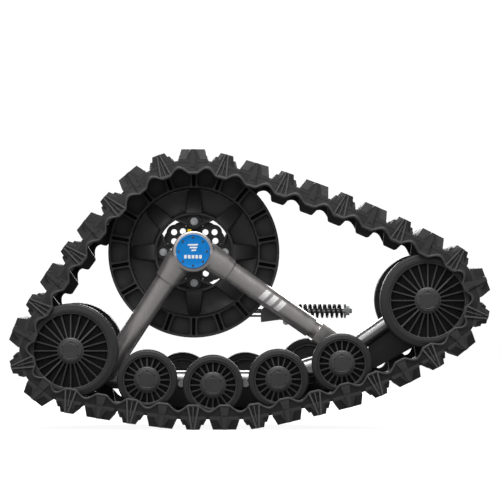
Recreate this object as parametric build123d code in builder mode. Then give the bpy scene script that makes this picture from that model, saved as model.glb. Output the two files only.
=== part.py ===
from build123d import *
import math
import os

# Rubber track unit that replaces one wheel of a small off-road vehicle.
# Frame: origin on the drive axis, in the face that bolts to the vehicle's wheel hub.
# +Y points to the vehicle, -Y is the outer side, +Z is up, +X is to the right seen from outside.

# ------------------------------------------------------------------ driving dimensions (mm)
TRACK_WIDTH = 317.5
TRACK_OUTER_Y = -188.75
TRACK_INNER_Y = TRACK_OUTER_Y + TRACK_WIDTH
CARCASS_THICKNESS = 8.0
LUG_COUNT = 36
LUG_TIP = 33.0
DRIVE_LUG_HEIGHT = 38.0
EDGE_WIDTH = 8.0
EDGE_HEIGHT = 20.0
DRIVE_LUG_Y = (-46.0, -14.0)

WHEEL_WIDTH = 44.0
OUTER_WHEEL_FACE_Y = -178.0
INNER_WHEEL_FACE_Y = 112.0
WHEEL_GAP = 0.5
IDLER_PATH_RADIUS = 111.0
REAR_IDLER_PATH_RADIUS = 113.0
REAR_IDLER_GAP = 1.8
ROLLER_PATH_RADIUS = 71.0
FRONT_IDLER = (-285.2, -231.6)
REAR_IDLER = (547.6, -114.4)
OUTER_ROLLERS = [(-107.1, -299.2), (46.4, -311.7), (199.2, -297.8), (347.3, -261.4)]
INNER_ROLLERS = [(-29.3, -311.5), (122.9, -311.5), (276.0, -277.4)]

SPROCKET_RADIUS = 203.0
SPROCKET_PATH_RADIUS = 206.0
SPROCKET_TEETH = 18
SPROCKET_RIM_Y = (-78.0, 18.0)
SPROCKET_GROOVE_Y = (-48.0, -12.0)
SPROCKET_GROOVE_RADIUS = 165.0
SPROCKET_WEB_Y = (-30.0, -8.0)
DISH_RADIUS = 152.0
RING_OUTER = 96.0
RING_INNER = 88.5
SPOKE_COUNT = 8
SPOKE_WIDTH = 32.0
SPOKE_HEIGHT = 14.0
# radius of the middle, length and width of the slots and of the pockets between them
SLOT = (173.0, 38.0, 8.6)
POCKET = (176.0, 36.0, 34.0)
SLOT_DEPTH = 22.0
EAR_ANGLES = [0, 90, 180, 270]
EAR_RADIUS = 18.0
EAR_SPREAD = 29.0
EAR_BOLT_RADIUS = 73.4
BOLT_SHANK = 6.0
BOLT_CLEARANCE = 0.1
BOLT_FLANGE = (9.0, 2.5)
BOLT_HEX = (7.0, 7.0)
HUB_PLATE_THICKNESS = 8.0
HUB_PLATE_RADIUS = 66.0
HUB_PLATE_EAR = 14.0
# corner lobes of the hub plate: angle from the corner, distance out, radius
HUB_PLATE_LOBES = [(-13.0, 66.0, 16.0), (0.0, 66.0, 20.0), (13.0, 66.0, 16.0)]
STUD_HOLE_RADIUS = 7.2
# bolt circle diameter and angle of its first hole, four holes each
STUD_PATTERNS = [(137.0, 45.0), (115.0, 28.6), (110.0, 61.2)]

SPINDLE_RADIUS = 20.0
SPINDLE_END = -160.0
SPINDLE_FLANGE = (40.0, 8.0)
SPINDLE_NUT = (26.0, 9.0)
BEARING_WIDTH = 18.0
BEARING_Y = (-124.0, -158.0)
BEARING_OUTER = 36.0
RUNNING_FIT = 0.05
KNUCKLE_RADIUS = 48.0
KNUCKLE_Y = (-172.0, -104.0)
CAP_RADIUS = 40.0
HUB_CAP_Y = -182.0
CAP_SCREW_COUNT = 8
CAP_SCREW_CIRCLE = 33.0
CAP_SCREW_RADIUS = 2.5
GREASE_CAP_X = -9.3
GREASE_CAP_Y = -140.0
GREASE_CAP_RADIUS = 5.0

STRUT_RADIUS = 24.5
STRUT_WALL = 3.5
STRUT_START = 50.0
SOCKET_RADIUS = 29.0
SOCKET_START = 30.0
SOCKET_END = 78.0
STRUT_HUB_Y = -145.0
STRUT_LEAN = 0.188
FRONT_STRUT_FOOT = -19.7
REAR_STRUT_FOOT = 19.8
FRONT_STRUT_DIRECTION = (-0.550, -0.835)
REAR_STRUT_DIRECTION = (0.822, -0.570)
REAR_TUBE_END = 312.0
FOOT_NECK_RADIUS = 21.0
FOOT_START = 328.0
FOOT_END = 412.0
FOOT_WIDTH = 44.0

RAIL_Y = -66.0
RAIL_Z = -303.0
RAIL_RADIUS = 21.5
RAIL_BORE = 19.05
RAIL_CORNER_RADIUS = 60.0
ARM_RADIUS = 19.0
ARM_ANGLE = 35.4
ARM_OFFSET = 7.2
ARM_LENGTH = 228.0
ARM_BOSS_RADIUS = 24.0
CROSS_TUBE_HALF = 30.0
SLEEVE_RADIUS = 18.0
IDLER_AXLE_RADIUS = 10.0
ROLLER_AXLE_RADIUS = 8.0
WHEEL_BEARING_OUTER = 20.0
WHEEL_BEARING_WIDTH = 24.0
AXLE_SETBACK = 14.0

ROD_RADIUS = 6.0
ROD_Y = 45.0
ROD_Z = -140.3
ROD_X = (-22.0, 380.0)
EYE_X = -40.0
EYE_RADIUS = 18.0
EYE_WIDTH = 20.0
SPRING_WIRE = 2.6
SPRING_RADIUS = 15.3
SPRING_PITCH = 11.8
BRACKET_BACK_Y = 65.0
BRACKET_FRONT_Y = -108.0
WASHER = (18.0, 4.0)
ROD_NUT = (11.0, 9.0)

os.makedirs("parts", exist_ok=True)


def save(part, name):
    """Label a finished piece and write it."""
    part.label = name
    export_step(part, f"parts/{name}.step")


def facing(x, y, z, side):
    """Plane square to the axles at (x, y, z), facing the outer side (-1) or the vehicle (+1)."""
    return Plane(origin=(x, y, z), x_dir=(1, 0, 0), z_dir=(0, side, 0))


def bar(x, z, radius, y_from, y_to, mode=Mode.ADD):
    """Round bar along Y, added to or cut from the open part."""
    with Locations((x, (y_from + y_to) / 2, z)):
        Cylinder(radius, y_to - y_from, rotation=(90, 0, 0), mode=mode)


# ------------------------------------------------------------------ track path
# The belt runs counter-clockwise over these circles, seen from outside. Each free span
# between two of them is a shallow outward arc of the radius beside it.
SUPPORTS = [
    (0.0, 0.0, SPROCKET_PATH_RADIUS, 1560.0),
    (*FRONT_IDLER, IDLER_PATH_RADIUS, 3000.0),
    (*INNER_ROLLERS[0], ROLLER_PATH_RADIUS, 8000.0),
    (*INNER_ROLLERS[1], ROLLER_PATH_RADIUS, 8000.0),
    (*OUTER_ROLLERS[2], ROLLER_PATH_RADIUS, 8000.0),
    (*OUTER_ROLLERS[3], ROLLER_PATH_RADIUS, 1250.0),
    (*REAR_IDLER, REAR_IDLER_PATH_RADIUS, 2475.0),
]


def span_centre(a, b):
    """Centre of the large arc that wraps circles a and b and touches both from outside."""
    reach_a, reach_b = a[3] - a[2], a[3] - b[2]
    dx, dz = b[0] - a[0], b[1] - a[1]
    distance = math.hypot(dx, dz)
    along = (distance**2 + reach_a**2 - reach_b**2) / (2 * distance)
    inward = math.sqrt(reach_a**2 - along**2)
    ux, uz = dx / distance, dz / distance
    return a[0] + ux * along - uz * inward, a[1] + uz * along + ux * inward


def belt_arcs():
    """The closed path as arcs (centre x, centre z, radius, start angle, end angle) in radians."""
    spans = []
    for index, support in enumerate(SUPPORTS):
        following = SUPPORTS[(index + 1) % len(SUPPORTS)]
        cx, cz = span_centre(support, following)
        start = math.atan2(support[1] - cz, support[0] - cx)
        end = math.atan2(following[1] - cz, following[0] - cx)
        spans.append((cx, cz, support[3], start, end))
    arcs = []
    for index, support in enumerate(SUPPORTS):
        arcs.append((support[0], support[1], support[2], spans[index - 1][4], spans[index][3]))
        arcs.append(spans[index])
    return [(x, z, r, a, a + (b - a) % math.tau) for x, z, r, a, b in arcs]


BELT_ARCS = belt_arcs()


def on_arc(arc, angle, offset):
    """Point at an angle on an arc of the path, moved outward by offset."""
    reach = arc[2] + offset
    return arc[0] + reach * math.cos(angle), arc[1] + reach * math.sin(angle)


def loop_face(offset):
    """Filled outline of the path, moved outward by offset."""
    with BuildSketch(Plane.XZ) as outline:
        with BuildLine():
            for arc in BELT_ARCS:
                middle = (arc[3] + arc[4]) / 2
                ThreePointArc(*[on_arc(arc, angle, offset) for angle in (arc[3], middle, arc[4])])
        make_face()
    return outline.sketch


def lug_stations():
    """Point on the contact surface and outward angle at each lug, from the top of the sprocket."""
    neutral = CARCASS_THICKNESS / 2
    lengths = [(arc[2] + neutral) * (arc[4] - arc[3]) for arc in BELT_ARCS]
    pitch = sum(lengths) / LUG_COUNT
    start = (SPROCKET_PATH_RADIUS + neutral) * (math.pi / 2 - BELT_ARCS[0][3])
    stations = []
    for number in range(LUG_COUNT):
        travel = (start + number * pitch) % sum(lengths)
        for arc, length in zip(BELT_ARCS, lengths):
            if travel <= length:
                break
            travel -= length
        angle = arc[3] + travel / (arc[2] + neutral)
        stations.append((on_arc(arc, angle, 0.0), angle))
    return stations


STATIONS = lug_stations()


def lug_bars(profile, stations, keep, mode, y_from, y_to):
    """Bars across the belt with one profile of (along, outward) points at each station."""
    with BuildPart() as bars:
        with BuildSketch(Plane.XZ.offset(-y_to)):
            for (x, z), angle in stations:
                with BuildLine():
                    Polyline(
                        *[
                            (
                                x + out * math.cos(angle) + along * math.sin(angle),
                                z + out * math.sin(angle) - along * math.cos(angle),
                            )
                            for along, out in profile
                        ],
                        close=True,
                    )
                make_face()
            add(keep.moved(Location((0, y_to, 0))), mode=mode)
        extrude(amount=y_to - y_from)
    return bars.part


# ------------------------------------------------------------------ track
with BuildPart() as track_carcass:
    with BuildSketch(Plane.XZ.offset(-TRACK_INNER_Y)):
        add(loop_face(CARCASS_THICKNESS).moved(Location((0, TRACK_INNER_Y, 0))))
        add(loop_face(0.0).moved(Location((0, TRACK_INNER_Y, 0))), mode=Mode.SUBTRACT)
    extrude(amount=TRACK_WIDTH)
    for edge_y in (TRACK_INNER_Y, TRACK_OUTER_Y + EDGE_WIDTH):
        with BuildSketch(Plane.XZ.offset(-edge_y)):
            add(loop_face(CARCASS_THICKNESS).moved(Location((0, edge_y, 0))))
            add(loop_face(-EDGE_HEIGHT).moved(Location((0, edge_y, 0))), mode=Mode.SUBTRACT)
        extrude(amount=EDGE_WIDTH)
save(track_carcass.part, "track_carcass")

WIDE_LUG = [(-35, 2), (-35, 11), (-27, LUG_TIP), (27, LUG_TIP), (35, 11), (35, 2)]
NARROW_LUG = [
    (-30, 2), (-30, 11), (-24, 22), (-19, 22), (-15, LUG_TIP),
    (15, LUG_TIP), (19, 22), (24, 22), (30, 11), (30, 2),
]
tread_outline = loop_face(CARCASS_THICKNESS)
save(
    lug_bars(WIDE_LUG, STATIONS[0::2], tread_outline, Mode.SUBTRACT, TRACK_OUTER_Y, TRACK_INNER_Y),
    "tread_lugs_wide",
)
save(
    lug_bars(NARROW_LUG, STATIONS[1::2], tread_outline, Mode.SUBTRACT, TRACK_OUTER_Y, TRACK_INNER_Y),
    "tread_lugs_narrow",
)

DRIVE_LUG = [(-32, 2), (-15, -DRIVE_LUG_HEIGHT), (15, -DRIVE_LUG_HEIGHT), (32, 2)]
inside_outline = loop_face(0.0)
save(lug_bars(DRIVE_LUG, STATIONS, inside_outline, Mode.INTERSECT, *DRIVE_LUG_Y), "drive_lugs")

# ------------------------------------------------------------------ drive sprocket
RIM_FRONT, RIM_BACK = SPROCKET_RIM_Y
WEB_FRONT, WEB_BACK = SPROCKET_WEB_Y
GROOVE_FRONT, GROOVE_BACK = SPROCKET_GROOVE_Y
EAR_POINTS = [
    (EAR_BOLT_RADIUS * math.cos(math.radians(ear)), EAR_BOLT_RADIUS * math.sin(math.radians(ear)))
    for ear in EAR_ANGLES
]
with BuildPart() as sprocket:
    with BuildSketch(facing(0, RIM_BACK, 0, -1)):
        Circle(SPROCKET_RADIUS)
        Circle(DISH_RADIUS, mode=Mode.SUBTRACT)
    extrude(amount=RIM_BACK - RIM_FRONT)
    with BuildSketch(facing(0, GROOVE_BACK, 0, -1)):
        Circle(SPROCKET_RADIUS + 1)
        Circle(SPROCKET_GROOVE_RADIUS, mode=Mode.SUBTRACT)
    extrude(amount=GROOVE_BACK - GROOVE_FRONT, mode=Mode.SUBTRACT)
    with BuildSketch(facing(0, WEB_BACK, 0, -1)):
        Circle(DISH_RADIUS + 1)
        Circle(RING_INNER, mode=Mode.SUBTRACT)
        for ear in EAR_ANGLES:
            with BuildSketch(mode=Mode.PRIVATE) as lobe:
                with PolarLocations(EAR_BOLT_RADIUS, 1, start_angle=ear):
                    Circle(EAR_RADIUS)
                with PolarLocations(
                    RING_INNER + 2,
                    2,
                    start_angle=ear - EAR_SPREAD,
                    angular_range=2 * EAR_SPREAD,
                    endpoint=True,
                ):
                    Circle(3)
                make_hull()
            add(lobe.sketch)
    extrude(amount=WEB_BACK - WEB_FRONT)
    with BuildSketch(facing(0, WEB_FRONT, 0, -1)):
        Circle(RING_OUTER)
        Circle(RING_INNER, mode=Mode.SUBTRACT)
        with PolarLocations(0, SPOKE_COUNT):
            with Locations(((RING_OUTER + DISH_RADIUS) / 2, 0)):
                Rectangle(DISH_RADIUS - RING_OUTER + 4, SPOKE_WIDTH)
    extrude(amount=SPOKE_HEIGHT)
    for rim_face, side in ((RIM_FRONT, -1), (RIM_BACK, 1)):
        with BuildSketch(facing(0, rim_face, 0, side)):
            for (middle, length, width), first_angle in ((SLOT, 90), (POCKET, 90 + 180 / SPROCKET_TEETH)):
                with PolarLocations(middle, SPROCKET_TEETH, start_angle=first_angle):
                    Rectangle(length, width)
        extrude(amount=-SLOT_DEPTH, mode=Mode.SUBTRACT)
    for x, z in EAR_POINTS:
        bar(x, z, BOLT_SHANK + BOLT_CLEARANCE, WEB_FRONT - 1, WEB_BACK + 1, Mode.SUBTRACT)
save(sprocket.part, "drive_sprocket")

with BuildPart() as hub_plate:
    with BuildSketch(facing(0, 0, 0, -1)):
        Circle(HUB_PLATE_RADIUS)
        with PolarLocations(EAR_BOLT_RADIUS, 4):
            Circle(HUB_PLATE_EAR)
        for turn, distance, radius in HUB_PLATE_LOBES:
            with PolarLocations(distance, 4, start_angle=45 + turn):
                Circle(radius)
        for diameter, first_angle in STUD_PATTERNS:
            with PolarLocations(diameter / 2, 4, start_angle=first_angle):
                Circle(STUD_HOLE_RADIUS, mode=Mode.SUBTRACT)
        with PolarLocations(EAR_BOLT_RADIUS, 4):
            Circle(BOLT_SHANK + BOLT_CLEARANCE, mode=Mode.SUBTRACT)
    extrude(amount=HUB_PLATE_THICKNESS)
save(hub_plate.part, "hub_plate")

SPINDLE_FLANGE_Y = -HUB_PLATE_THICKNESS - SPINDLE_FLANGE[1]
with BuildPart() as spindle:
    bar(0, 0, SPINDLE_FLANGE[0], SPINDLE_FLANGE_Y, -HUB_PLATE_THICKNESS)
    bar(0, 0, SPINDLE_RADIUS, SPINDLE_END, SPINDLE_FLANGE_Y)
save(spindle.part, "spindle")

with BuildPart() as spindle_nut:
    with BuildSketch(facing(0, SPINDLE_END, 0, -1)):
        RegularPolygon(SPINDLE_NUT[0], 6)
    extrude(amount=SPINDLE_NUT[1])
save(spindle_nut.part, "spindle_nut")

with BuildPart() as sprocket_bolts:
    for x, z in EAR_POINTS:
        bar(x, z, BOLT_SHANK, WEB_FRONT, 0)
        bar(x, z, BOLT_FLANGE[0], WEB_FRONT - BOLT_FLANGE[1], WEB_FRONT)
        with BuildSketch(facing(x, WEB_FRONT - BOLT_FLANGE[1], z, -1)):
            RegularPolygon(BOLT_HEX[0], 6)
        extrude(amount=BOLT_HEX[1])
save(sprocket_bolts.part, "sprocket_bolts")

# ------------------------------------------------------------------ outer frame
KNUCKLE_FRONT, KNUCKLE_BACK = KNUCKLE_Y


def strut_plane(direction, foot, distance):
    """Plane square to a strut, at a distance down it from the height of the drive axis."""
    dx, dz = direction
    length = math.hypot(dx, dz)
    origin = (foot + dx / length * distance, STRUT_HUB_Y + STRUT_LEAN * distance, dz / length * distance)
    return Plane(origin=origin, z_dir=(dx / length, STRUT_LEAN, dz / length), x_dir=(0, 1, 0))


def strut_length(start, end):
    """Length along a leaning strut between two distances measured square to Y."""
    return (end - start) * math.hypot(1, STRUT_LEAN)


STRUTS = [(FRONT_STRUT_DIRECTION, FRONT_STRUT_FOOT), (REAR_STRUT_DIRECTION, REAR_STRUT_FOOT)]

ARM_DIRECTION = (math.cos(math.radians(ARM_ANGLE)), math.sin(math.radians(ARM_ANGLE)))


def arm_point(distance):
    """Point on the tensioner's centre line, which passes a little above the rear idler axle."""
    x = REAR_IDLER[0] - ARM_DIRECTION[0] * distance - ARM_DIRECTION[1] * ARM_OFFSET
    z = REAR_IDLER[1] - ARM_DIRECTION[1] * distance + ARM_DIRECTION[0] * ARM_OFFSET
    return (x, z)


RAIL_BEND = arm_point(247.0)
RAIL_END = arm_point(190.0)
ARM_INNER_END = arm_point(ARM_LENGTH)
RAIL_POINTS = [FRONT_IDLER, (-205.0, RAIL_Z), (175.0, RAIL_Z), RAIL_BEND, RAIL_END]
RAIL_ROUTE = [Vector(x, RAIL_Y, z) for x, z in RAIL_POINTS]

with BuildPart() as rail_core:
    with BuildLine():
        FilletPolyline(*RAIL_ROUTE, radius=RAIL_CORNER_RADIUS)
    with BuildSketch(Plane(origin=RAIL_ROUTE[0], z_dir=RAIL_ROUTE[1] - RAIL_ROUTE[0])):
        Circle(RAIL_RADIUS)
    sweep()

with BuildPart() as undercarriage_rail:
    with BuildLine():
        FilletPolyline(*RAIL_ROUTE, radius=RAIL_CORNER_RADIUS)
    with BuildSketch(Plane(origin=RAIL_ROUTE[0], z_dir=RAIL_ROUTE[1] - RAIL_ROUTE[0])):
        Circle(RAIL_RADIUS)
        Circle(RAIL_BORE, mode=Mode.SUBTRACT)
    sweep()
    bar(*FRONT_IDLER, SLEEVE_RADIUS, RAIL_Y - CROSS_TUBE_HALF, RAIL_Y + CROSS_TUBE_HALF, Mode.SUBTRACT)
    for x, z in OUTER_ROLLERS + INNER_ROLLERS:
        bar(x, z, ROLLER_AXLE_RADIUS, RAIL_Y - CROSS_TUBE_HALF, RAIL_Y + CROSS_TUBE_HALF, Mode.SUBTRACT)
save(undercarriage_rail.part, "undercarriage_rail")

with BuildPart() as hub_knuckle:
    bar(0, 0, KNUCKLE_RADIUS, KNUCKLE_FRONT, KNUCKLE_BACK)
    for direction, foot in STRUTS:
        with BuildSketch(strut_plane(direction, foot, SOCKET_START)):
            Circle(SOCKET_RADIUS)
        extrude(amount=strut_length(SOCKET_START, SOCKET_END))
    bar(0, 0, BEARING_OUTER, KNUCKLE_FRONT - 10, KNUCKLE_BACK + 20, Mode.SUBTRACT)
    for direction, foot in STRUTS:
        with BuildSketch(strut_plane(direction, foot, STRUT_START)):
            Circle(STRUT_RADIUS)
        extrude(amount=STRUT_START + 10, mode=Mode.SUBTRACT)
    with Locations((0, KNUCKLE_FRONT - 50, 0)):
        Box(400, 100, 400, mode=Mode.SUBTRACT)
save(hub_knuckle.part, "hub_knuckle")

with BuildPart() as front_strut:
    with BuildSketch(strut_plane(*STRUTS[0], STRUT_START)):
        Circle(STRUT_RADIUS)
        Circle(STRUT_RADIUS - STRUT_WALL, mode=Mode.SUBTRACT)
    extrude(amount=strut_length(STRUT_START, 400))
    add(rail_core.part, mode=Mode.SUBTRACT)
    with Locations((0, 0, RAIL_Z - 100)):
        Box(1000, 400, 200, mode=Mode.SUBTRACT)
save(front_strut.part, "front_strut")

with BuildPart() as rear_strut:
    with BuildSketch(strut_plane(*STRUTS[1], STRUT_START)):
        Circle(STRUT_RADIUS)
        Circle(STRUT_RADIUS - STRUT_WALL, mode=Mode.SUBTRACT)
    extrude(amount=strut_length(STRUT_START, REAR_TUBE_END))
save(rear_strut.part, "rear_strut")

with BuildPart() as rear_strut_foot:
    with BuildSketch(strut_plane(*STRUTS[1], REAR_TUBE_END)):
        Circle(FOOT_NECK_RADIUS)
    extrude(amount=strut_length(REAR_TUBE_END, FOOT_START))
    with BuildSketch(strut_plane(*STRUTS[1], FOOT_START)):
        RectangleRounded(FOOT_WIDTH, 2 * STRUT_RADIUS, 6)
    extrude(amount=strut_length(FOOT_START, FOOT_END))
    add(rail_core.part, mode=Mode.SUBTRACT)
    with Locations((RAIL_BEND[0], RAIL_Y, RAIL_BEND[1] - 60)):
        Box(200, 200, 100, mode=Mode.SUBTRACT)
    bar(*OUTER_ROLLERS[3], ROLLER_AXLE_RADIUS, -140, 0, Mode.SUBTRACT)
save(rear_strut_foot.part, "rear_strut_foot")

CAP_SCREW_ANGLES = [math.tau * number / CAP_SCREW_COUNT for number in range(CAP_SCREW_COUNT)]
CAP_SCREW_POINTS = [
    (CAP_SCREW_CIRCLE * math.cos(angle), CAP_SCREW_CIRCLE * math.sin(angle)) for angle in CAP_SCREW_ANGLES
]
with BuildPart() as hub_cap:
    bar(0, 0, CAP_RADIUS, HUB_CAP_Y, KNUCKLE_FRONT)
    fillet(hub_cap.edges().group_by(Axis.Y)[0], 2)
    for x, z in CAP_SCREW_POINTS:
        bar(x, z, CAP_SCREW_RADIUS + BOLT_CLEARANCE, HUB_CAP_Y - 1, KNUCKLE_FRONT + 1, Mode.SUBTRACT)
save(hub_cap.part, "hub_cap")

with BuildPart() as hub_cap_screws:
    for x, z in CAP_SCREW_POINTS:
        bar(x, z, CAP_SCREW_RADIUS, HUB_CAP_Y - 0.4, KNUCKLE_FRONT)
save(hub_cap_screws.part, "hub_cap_screws")

with BuildPart() as hub_bearings:
    for y_from in BEARING_Y:
        bar(0, 0, BEARING_OUTER, y_from, y_from + BEARING_WIDTH)
    bar(0, 0, SPINDLE_RADIUS + RUNNING_FIT, -170, -100, Mode.SUBTRACT)
save(hub_bearings.part, "hub_bearings")

with BuildPart() as grease_cap:
    with BuildSketch(Plane.XY.offset(math.sqrt(KNUCKLE_RADIUS**2 - GREASE_CAP_X**2) - 1.5)):
        with Locations((GREASE_CAP_X, GREASE_CAP_Y)):
            Circle(GREASE_CAP_RADIUS)
    extrude(amount=7)
    bar(0, 0, KNUCKLE_RADIUS, GREASE_CAP_Y - 20, GREASE_CAP_Y + 20, Mode.SUBTRACT)
save(grease_cap.part, "grease_cap")

# ------------------------------------------------------------------ undercarriage
with BuildPart() as front_axle_sleeve:
    bar(*FRONT_IDLER, SLEEVE_RADIUS, -112, 52)
    bar(*FRONT_IDLER, IDLER_AXLE_RADIUS, -113, 53, Mode.SUBTRACT)
save(front_axle_sleeve.part, "front_axle_sleeve")

SLIDE_OUTLINE = [(-90, -330), (-70, -366), (160, -366), (185, -330), (185, RAIL_Z), (-90, RAIL_Z)]
SLIDE_Y = (-88.0, -52.0)
with BuildPart() as slide_rail:
    with BuildSketch(Plane.XZ.offset(-SLIDE_Y[1])):
        Polygon(*SLIDE_OUTLINE, align=None)
    extrude(amount=SLIDE_Y[1] - SLIDE_Y[0])
    add(rail_core.part, mode=Mode.SUBTRACT)
    for x, z in OUTER_ROLLERS + INNER_ROLLERS:
        bar(x, z, ROLLER_AXLE_RADIUS + 1, RAIL_Y - CROSS_TUBE_HALF, RAIL_Y + CROSS_TUBE_HALF, Mode.SUBTRACT)
save(slide_rail.part, "slide_rail")

OUTER_AXLE_END = OUTER_WHEEL_FACE_Y + AXLE_SETBACK
INNER_AXLE_END = INNER_WHEEL_FACE_Y - AXLE_SETBACK
with BuildPart() as front_idler_axle:
    bar(*FRONT_IDLER, IDLER_AXLE_RADIUS, OUTER_AXLE_END, INNER_AXLE_END)
save(front_idler_axle.part, "front_idler_axle")

with BuildPart() as rear_idler_axle:
    bar(*REAR_IDLER, IDLER_AXLE_RADIUS, OUTER_AXLE_END, INNER_AXLE_END)
save(rear_idler_axle.part, "rear_idler_axle")

with BuildPart() as outer_roller_axles:
    for x, z in OUTER_ROLLERS:
        bar(x, z, ROLLER_AXLE_RADIUS, OUTER_AXLE_END, RAIL_Y + 24)
save(outer_roller_axles.part, "outer_roller_axles")

with BuildPart() as inner_roller_axles:
    for x, z in INNER_ROLLERS:
        bar(x, z, ROLLER_AXLE_RADIUS, RAIL_Y - 24, INNER_AXLE_END)
save(inner_roller_axles.part, "inner_roller_axles")

# ------------------------------------------------------------------ tensioner
ARM_PLANE = Plane(
    origin=(ARM_INNER_END[0], RAIL_Y, ARM_INNER_END[1]), z_dir=(ARM_DIRECTION[0], 0, ARM_DIRECTION[1])
)
SLIDE_PLATE_OUTLINE = [(414, -220), (520, -145), (520, -226), (428, -276), (414, -272)]
with BuildPart() as tension_arm:
    with BuildSketch(ARM_PLANE):
        Circle(ARM_RADIUS)
    extrude(amount=ARM_LENGTH)
    bar(*REAR_IDLER, ARM_BOSS_RADIUS, RAIL_Y - CROSS_TUBE_HALF, RAIL_Y + CROSS_TUBE_HALF)
    bar(*REAR_IDLER, IDLER_AXLE_RADIUS, RAIL_Y - 31, RAIL_Y + 31, Mode.SUBTRACT)
save(tension_arm.part, "tension_arm")

with BuildPart() as rear_slide_plate:
    with BuildSketch(Plane.XZ.offset(-RAIL_Y - 5)):
        Polygon(*SLIDE_PLATE_OUTLINE, align=None)
    extrude(amount=10)
    with BuildSketch(ARM_PLANE):
        Circle(ARM_RADIUS)
    extrude(amount=ARM_LENGTH, mode=Mode.SUBTRACT)
    bar(*REAR_IDLER, ARM_BOSS_RADIUS, RAIL_Y - CROSS_TUBE_HALF, RAIL_Y + CROSS_TUBE_HALF, Mode.SUBTRACT)
save(rear_slide_plate.part, "rear_slide_plate")

# ------------------------------------------------------------------ stabilizer rod
BRACKET_OUTLINE = [(160, -166), (205, -160), (205, -122), (178, -122), (160, -138)]
BRACKET_FLANGE_X = (128.0, 162.0)
BRACKET_FLANGE_Z = (-155.2, -150.6)
BRACKET_FLANGE_Y = (30.0, 60.0)
BRACKET_TAB = [(200, -160), (228, -164), (228, -145), (200, -145)]
BRACKET_TAB_Y = (-86.0, -78.0)
BRACKET_BOLT = (218.6, -165.5)
BRACKET_BOLT_SHANK = 4.0
BRACKET_BOLT_HEAD = (7.5, 8.0)
with BuildPart() as stabilizer_bracket:
    with BuildSketch(Plane.XZ.offset(-BRACKET_BACK_Y)):
        Polygon(*BRACKET_OUTLINE, align=None)
    extrude(amount=BRACKET_BACK_Y - BRACKET_FRONT_Y)
    with BuildSketch(Plane.XZ.offset(-BRACKET_TAB_Y[1])):
        Polygon(*BRACKET_TAB, align=None)
    extrude(amount=BRACKET_TAB_Y[1] - BRACKET_TAB_Y[0])
    with Locations(
        (sum(BRACKET_FLANGE_X) / 2, sum(BRACKET_FLANGE_Y) / 2, sum(BRACKET_FLANGE_Z) / 2)
    ):
        Box(
            BRACKET_FLANGE_X[1] - BRACKET_FLANGE_X[0],
            BRACKET_FLANGE_Y[1] - BRACKET_FLANGE_Y[0],
            BRACKET_FLANGE_Z[1] - BRACKET_FLANGE_Z[0],
        )
    with BuildSketch(strut_plane(*STRUTS[1], STRUT_START)):
        Circle(STRUT_RADIUS)
    extrude(amount=strut_length(STRUT_START, REAR_TUBE_END), mode=Mode.SUBTRACT)
    with Locations((sum(ROD_X) / 2, ROD_Y, ROD_Z)):
        Cylinder(ROD_RADIUS + RUNNING_FIT, ROD_X[1] - ROD_X[0], rotation=(0, 90, 0), mode=Mode.SUBTRACT)
    bar(*BRACKET_BOLT, BRACKET_BOLT_SHANK, BRACKET_TAB_Y[0] - 1, BRACKET_TAB_Y[1] + 1, Mode.SUBTRACT)
save(stabilizer_bracket.part, "stabilizer_bracket")

with BuildPart() as bracket_bolt:
    bar(*BRACKET_BOLT, BRACKET_BOLT_SHANK, *BRACKET_TAB_Y)
    bar(*BRACKET_BOLT, BRACKET_BOLT_HEAD[0], BRACKET_TAB_Y[1], BRACKET_TAB_Y[1] + BRACKET_BOLT_HEAD[1])
    with BuildSketch(strut_plane(*STRUTS[1], STRUT_START)):
        Circle(STRUT_RADIUS)
    extrude(amount=strut_length(STRUT_START, REAR_TUBE_END), mode=Mode.SUBTRACT)
save(bracket_bolt.part, "bracket_bolt")

with BuildPart() as stabilizer_rod:
    with BuildSketch(Plane(origin=(ROD_X[0], ROD_Y, ROD_Z), z_dir=(1, 0, 0))):
        Circle(ROD_RADIUS)
    extrude(amount=ROD_X[1] - ROD_X[0])
save(stabilizer_rod.part, "stabilizer_rod")

with BuildPart() as stabilizer_eye:
    bar(EYE_X, ROD_Z, EYE_RADIUS, ROD_Y - EYE_WIDTH / 2, ROD_Y + EYE_WIDTH / 2)
    bar(EYE_X, ROD_Z, ROD_RADIUS + BOLT_CLEARANCE, ROD_Y - EYE_WIDTH, ROD_Y + EYE_WIDTH, Mode.SUBTRACT)
    with BuildSketch(Plane(origin=(ROD_X[0], ROD_Y, ROD_Z), z_dir=(1, 0, 0))):
        Circle(ROD_RADIUS)
    extrude(amount=EYE_RADIUS, mode=Mode.SUBTRACT)
save(stabilizer_eye.part, "stabilizer_eye")

WASHER_X = 361.0
SPRING_START = max(x for x, _ in BRACKET_OUTLINE) + 0.4
SPRING_END = WASHER_X - 0.4
with BuildPart() as stabilizer_spring:
    with BuildLine() as coil:
        Helix(
            SPRING_PITCH,
            SPRING_END - SPRING_START - 2 * SPRING_WIRE,
            SPRING_RADIUS,
            center=(SPRING_START + SPRING_WIRE, ROD_Y, ROD_Z),
            direction=(1, 0, 0),
        )
    with BuildSketch(Plane(coil.edge() @ 0, z_dir=coil.edge() % 0)):
        Circle(SPRING_WIRE)
    sweep(is_frenet=True)
save(stabilizer_spring.part, "stabilizer_spring")

with BuildPart() as rod_nut:
    with BuildSketch(Plane(origin=(WASHER_X, ROD_Y, ROD_Z), z_dir=(1, 0, 0))):
        Circle(WASHER[0])
        Circle(ROD_RADIUS, mode=Mode.SUBTRACT)
    extrude(amount=WASHER[1])
    with BuildSketch(Plane(origin=(WASHER_X + WASHER[1], ROD_Y, ROD_Z), z_dir=(1, 0, 0))):
        RegularPolygon(ROD_NUT[0], 6)
        Circle(ROD_RADIUS, mode=Mode.SUBTRACT)
    extrude(amount=ROD_NUT[1])
save(rod_nut.part, "rod_nut")

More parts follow.
